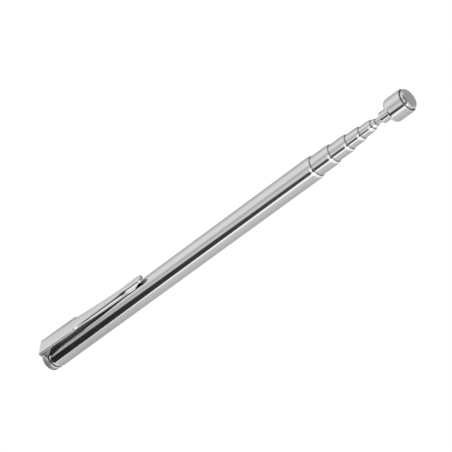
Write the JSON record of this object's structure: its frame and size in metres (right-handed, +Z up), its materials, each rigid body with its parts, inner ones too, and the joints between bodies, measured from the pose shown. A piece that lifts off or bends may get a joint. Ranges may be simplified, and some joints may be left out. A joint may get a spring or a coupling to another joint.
{
  "type": "magnetic pickup tool",
  "caption": "Pen-style telescoping magnetic pickup tool: nested drawn tubes, a magnet in a cup at the tip, a knurled end cap and a flexing pocket clip.",
  "frame": {"origin": "centre of the end cap's rear face, on the tool's axis", "axes": "+X along the axis towards the magnet, +Y towards the pocket clip, +Z up with the tool lying on a bench"},
  "size_m": [0.1688, 0.011, 0.0082],
  "materials": {
    "chrome": "polished bright plating with fine handling marks",
    "clip_steel": "plated spring steel sheet, bright",
    "bronze": "phosphor bronze strip, satin",
    "sleeve": "black moulded plastic",
    "adhesive": "cured epoxy",
    "magnet": "nickel plated sintered magnet, satin face"
  },
  "bodies": {
    "barrel": {"barrel": "chrome", "end_bush": "sleeve", "end_cap": "chrome", "clip_collar": "clip_steel"},
    "clip_arm": {"clip_arm": "clip_steel"},
    "liner_7": {"liner_7_upper": "bronze", "liner_7_lower": "bronze"},
    "tube_7": {"tube_7": "chrome"},
    "liner_6": {"liner_6_upper": "bronze", "liner_6_lower": "bronze"},
    "tube_6": {"tube_6": "chrome"},
    "liner_5": {"liner_5_upper": "bronze", "liner_5_lower": "bronze"},
    "tube_5": {"tube_5": "chrome"},
    "liner_4": {"liner_4_upper": "bronze", "liner_4_lower": "bronze"},
    "tube_4": {"tube_4": "chrome"},
    "liner_3": {"liner_3_upper": "bronze", "liner_3_lower": "bronze"},
    "tube_3": {"tube_3": "chrome"},
    "liner_2": {"liner_2_upper": "bronze", "liner_2_lower": "bronze"},
    "head": {"inner_rod": "chrome", "head_cup": "chrome", "magnet_sleeve": "sleeve", "magnet_bond": "adhesive", "magnet": "magnet"}
  },
  "joints": [
    {"name": "clip_flex", "type": "hinge", "parent": "barrel", "child": "clip_arm", "pos_m": [0.00885, 0.00644, 0], "axis": [0, 0, 1], "range_deg": [0, 4], "stiffness_Nm_per_rad": 2},
    {"name": "tube_7_slide", "type": "slide", "parent": "barrel", "child": "liner_7", "axis": [1, 0, 0], "range_m": [-0.0061, 0.10225]},
    {"name": "tube_7_turn", "type": "hinge", "parent": "liner_7", "child": "tube_7", "pos_m": [0.01955, 0, 0], "axis": [1, 0, 0], "continuous": true},
    {"name": "tube_6_slide", "type": "slide", "parent": "tube_7", "child": "liner_6", "axis": [1, 0, 0], "range_m": [-0.0052, 0.10465]},
    {"name": "tube_6_turn", "type": "hinge", "parent": "liner_6", "child": "tube_6", "pos_m": [0.02475, 0, 0], "axis": [1, 0, 0], "continuous": true},
    {"name": "tube_5_slide", "type": "slide", "parent": "tube_6", "child": "liner_5", "axis": [1, 0, 0], "range_m": [-0.0038, 0.10755]},
    {"name": "tube_5_turn", "type": "hinge", "parent": "liner_5", "child": "tube_5", "pos_m": [0.02855, 0, 0], "axis": [1, 0, 0], "continuous": true},
    {"name": "tube_4_slide", "type": "slide", "parent": "tube_5", "child": "liner_4", "axis": [1, 0, 0], "range_m": [-0.0031, 0.10975]},
    {"name": "tube_4_turn", "type": "hinge", "parent": "liner_4", "child": "tube_4", "pos_m": [0.03165, 0, 0], "axis": [1, 0, 0], "continuous": true},
    {"name": "tube_3_slide", "type": "slide", "parent": "tube_4", "child": "liner_3", "axis": [1, 0, 0], "range_m": [0, 0.11435]},
    {"name": "tube_3_turn", "type": "hinge", "parent": "liner_3", "child": "tube_3", "pos_m": [0.03165, 0, 0], "axis": [1, 0, 0], "continuous": true},
    {"name": "rod_slide", "type": "slide", "parent": "tube_3", "child": "liner_2", "axis": [1, 0, 0], "range_m": [-0.0017, 0.11415]},
    {"name": "rod_turn", "type": "hinge", "parent": "liner_2", "child": "head", "pos_m": [0.03335, 0, 0], "axis": [1, 0, 0], "continuous": true}
  ]
}
